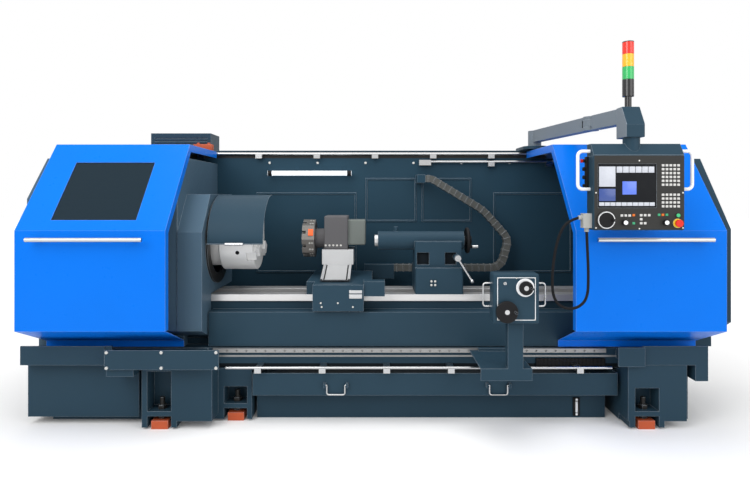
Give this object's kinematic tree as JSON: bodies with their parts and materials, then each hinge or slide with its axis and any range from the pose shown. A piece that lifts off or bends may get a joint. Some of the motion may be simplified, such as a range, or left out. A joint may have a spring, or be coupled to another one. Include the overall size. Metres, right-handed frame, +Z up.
{
  "type": "cnc turning lathe",
  "caption": "Open-front flat-bed turning lathe with sliding doors, chuck, indexing turret, tailstock, hand-wheel cart and a control panel on a swing arm",
  "frame": {"origin": "centre of the footprint, on the floor", "axes": "+X from headstock to tailstock, +Y to the rear, +Z up"},
  "size_m": [4.238, 1.787, 2.245],
  "materials": {
    "casting_grey": "textured satin paint over casting",
    "cover_grey": "fine textured powder coat",
    "wall_grey": "satin powder coat",
    "door_blue": "satin powder coat",
    "window_glass": "dark tinted polycarbonate",
    "handle_steel": "brushed stainless tube",
    "bed_iron": "painted casting with ground ways",
    "ground_steel": "ground and polished",
    "black_steel": "black satin",
    "guard_dark": "dark satin enamel",
    "jack_steel": "zinc screw on an orange painted block",
    "black_rubber": "matte",
    "black_plastic": "fine grained moulding",
    "panel_grey": "fine textured powder coat",
    "screen_glass": "flat display glass",
    "lamp_white": "frosted tube",
    "beacon_lens": "stacked clear coloured lenses on a black base",
    "start_green": "glossy",
    "stop_red": "glossy",
    "motor_iron": "painted"
  },
  "bodies": {
    "machine": {"left_pedestal": "casting_grey", "right_pedestal": "casting_grey", "levelling_jacks": "jack_steel", "bed": "bed_iron", "headstock": "casting_grey", "headstock_cover": "cover_grey", "headstock_guard": "cover_grey", "spindle_bearings": "ground_steel", "main_motor": "motor_iron", "drive_belt": "black_rubber", "front_sills": "cover_grey", "cart_rail": "ground_steel", "door_rods": "ground_steel", "rear_wall": "wall_grey", "work_light": "lamp_white", "electrical_cabinet": "cover_grey", "right_end_cover": "cover_grey", "cable_chain": "black_plastic", "arm_bracket": "casting_grey", "coolant_tank": "cover_grey"},
    "spindle": {"spindle": "ground_steel", "chuck_body": "ground_steel"},
    "jaw_1": {"chuck_jaw_1": "ground_steel"},
    "jaw_2": {"chuck_jaw_2": "ground_steel"},
    "jaw_3": {"chuck_jaw_3": "ground_steel"},
    "motor_pulley": {"motor_pulley": "ground_steel"},
    "chuck_guard": {"chuck_guard": "guard_dark"},
    "z_screw": {"z_screw": "ground_steel"},
    "carriage": {"saddle": "casting_grey"},
    "cross_slide": {"cross_slide": "ground_steel", "way_cover": "ground_steel", "turret_housing": "casting_grey"},
    "turret": {"turret_disc": "black_steel"},
    "tailstock": {"tailstock": "casting_grey"},
    "clamp_lever": {"clamp_lever": "black_steel"},
    "quill": {"quill": "ground_steel"},
    "quill_handwheel": {"quill_handwheel": "black_plastic"},
    "left_door": {"left_door": "door_blue", "left_window": "window_glass", "left_handle": "handle_steel"},
    "right_door": {"right_door": "door_blue", "right_handle": "handle_steel"},
    "cart": {"cart": "casting_grey", "station_box": "casting_grey"},
    "large_feed_wheel": {"large_feed_wheel": "black_plastic"},
    "small_feed_wheel": {"small_feed_wheel": "black_plastic"},
    "rear_arm": {"arm_rear": "casting_grey"},
    "front_arm": {"arm_front": "casting_grey", "signal_beacon": "beacon_lens"},
    "panel": {"panel_case": "panel_grey", "panel_screen": "screen_glass", "panel_conduit": "black_rubber"},
    "jog_wheel": {"jog_wheel": "black_plastic"},
    "speed_knob": {"speed_knob": "black_plastic"},
    "feed_knob": {"feed_knob": "black_plastic"},
    "start_button": {"start_button": "start_green"},
    "stop_button": {"stop_button": "stop_red"},
    "chip_tray": {"chip_tray": "cover_grey"},
    "left_bail": {"left_bail": "handle_steel"},
    "right_bail": {"right_bail": "handle_steel"}
  },
  "joints": [
    {"name": "spindle_spin", "type": "hinge", "parent": "machine", "child": "spindle", "pos_m": [-1.5, -0.09, 1.1], "axis": [1, 0, 0], "continuous": true},
    {"name": "jaw_1_slide", "type": "slide", "parent": "spindle", "child": "jaw_1", "axis": [0, 0, 1], "range_m": [-0.004, 0.006]},
    {"name": "jaw_2_slide", "type": "slide", "parent": "spindle", "child": "jaw_2", "axis": [0, -0.866, -0.5], "range_m": [-0.004, 0.006]},
    {"name": "jaw_3_slide", "type": "slide", "parent": "spindle", "child": "jaw_3", "axis": [0, 0.866, -0.5], "range_m": [-0.004, 0.006]},
    {"name": "motor_pulley_spin", "type": "hinge", "parent": "machine", "child": "motor_pulley", "pos_m": [-2.04, 0.3, 0.64], "axis": [1, 0, 0], "continuous": true},
    {"name": "chuck_guard_hinge", "type": "hinge", "parent": "machine", "child": "chuck_guard", "pos_m": [-0.86, 0.20886, 1.12615], "axis": [-1, 0, 0], "range_deg": [0, 55]},
    {"name": "carriage_slide", "type": "slide", "parent": "machine", "child": "carriage", "axis": [1, 0, 0], "range_m": [-0.17, 0.07], "deforming": ["cable_chain"]},
    {"name": "z_screw_spin", "type": "hinge", "parent": "machine", "child": "z_screw", "pos_m": [0, 0.168, 0.69], "axis": [1, 0, 0], "range_deg": [-6125, 2525]},
    {"name": "cross_slide_feed", "type": "slide", "parent": "carriage", "child": "cross_slide", "axis": [0, 1, 0], "range_m": [-0.045, 0.17]},
    {"name": "turret_index", "type": "hinge", "parent": "cross_slide", "child": "turret", "pos_m": [-0.45, 0.11, 1.1], "axis": [1, 0, 0], "continuous": true},
    {"name": "tailstock_slide", "type": "slide", "parent": "machine", "child": "tailstock", "axis": [1, 0, 0], "range_m": [0, 0.85]},
    {"name": "clamp_lever_turn", "type": "hinge", "parent": "tailstock", "child": "clamp_lever", "pos_m": [0.53, -0.25, 0.998], "axis": [0, 1, 0], "range_deg": [-40, 50]},
    {"name": "quill_feed", "type": "slide", "parent": "tailstock", "child": "quill", "axis": [-1, 0, 0], "range_m": [0, 0.15]},
    {"name": "quill_handwheel_turn", "type": "hinge", "parent": "tailstock", "child": "quill_handwheel", "pos_m": [0.61, -0.09, 1.1], "axis": [1, 0, 0], "range_deg": [-5, 10806]},
    {"name": "left_door_slide", "type": "slide", "parent": "machine", "child": "left_door", "axis": [1, 0, 0], "range_m": [0, 1.3]},
    {"name": "right_door_slide", "type": "slide", "parent": "machine", "child": "right_door", "axis": [-1, 0, 0], "range_m": [0, 1.03]},
    {"name": "cart_slide", "type": "slide", "parent": "machine", "child": "cart", "axis": [-1, 0, 0], "range_m": [0, 1.45]},
    {"name": "large_feed_wheel_turn", "type": "hinge", "parent": "cart", "child": "large_feed_wheel", "pos_m": [0.717, -0.79, 0.767], "axis": [0, -1, 0], "continuous": true},
    {"name": "small_feed_wheel_turn", "type": "hinge", "parent": "cart", "child": "small_feed_wheel", "pos_m": [0.821, -0.79, 0.897], "axis": [0, -1, 0], "continuous": true},
    {"name": "arm_base_swing", "type": "hinge", "parent": "machine", "child": "rear_arm", "pos_m": [1.19, 0.335, 1.84], "axis": [0, 0, 1], "range_deg": [0, 3]},
    {"name": "arm_elbow", "type": "hinge", "parent": "rear_arm", "child": "front_arm", "pos_m": [1.318, -0.423, 1.84], "axis": [0, 0, 1], "range_deg": [0, 4]},
    {"name": "panel_swivel", "type": "hinge", "parent": "front_arm", "child": "panel", "pos_m": [1.391, -0.8, 1.7], "axis": [0, 0, 1], "range_deg": [-5, 14]},
    {"name": "jog_wheel_turn", "type": "hinge", "parent": "panel", "child": "jog_wheel", "pos_m": [1.226, -0.87, 1.27], "axis": [0, -1, 0], "continuous": true},
    {"name": "speed_knob_turn", "type": "hinge", "parent": "panel", "child": "speed_knob", "pos_m": [1.326, -0.87, 1.257], "axis": [0, -1, 0], "range_deg": [-135, 135]},
    {"name": "feed_knob_turn", "type": "hinge", "parent": "panel", "child": "feed_knob", "pos_m": [1.544, -0.87, 1.257], "axis": [0, -1, 0], "range_deg": [-135, 135]},
    {"name": "start_button_press", "type": "slide", "parent": "panel", "child": "start_button", "axis": [0, 1, 0], "range_m": [0, 0.0035], "stiffness_N_per_m": 600},
    {"name": "stop_button_press", "type": "slide", "parent": "panel", "child": "stop_button", "axis": [0, 1, 0], "range_m": [0, 0.005], "stiffness_N_per_m": 900},
    {"name": "chip_tray_slide", "type": "slide", "parent": "machine", "child": "chip_tray", "axis": [0, -1, 0], "range_m": [0, 0.45]},
    {"name": "left_bail_swing", "type": "hinge", "parent": "chip_tray", "child": "left_bail", "pos_m": [-0.239, -0.423, 0.243], "axis": [-1, 0, 0], "range_deg": [0, 90]},
    {"name": "right_bail_swing", "type": "hinge", "parent": "chip_tray", "child": "right_bail", "pos_m": [0.754, -0.423, 0.243], "axis": [-1, 0, 0], "range_deg": [0, 90]}
  ],
  "couplings": [
    {"joint": "motor_pulley_spin", "follows": "spindle_spin", "ratio": 1.75},
    {"joint": "jaw_2_slide", "follows": "jaw_1_slide", "ratio": 1},
    {"joint": "jaw_3_slide", "follows": "jaw_1_slide", "ratio": 1},
    {"joint": "z_screw_spin", "follows": "carriage_slide", "rad_per_m": 628.32},
    {"joint": "quill_handwheel_turn", "follows": "quill_feed", "rad_per_m": 1256.6}
  ]
}
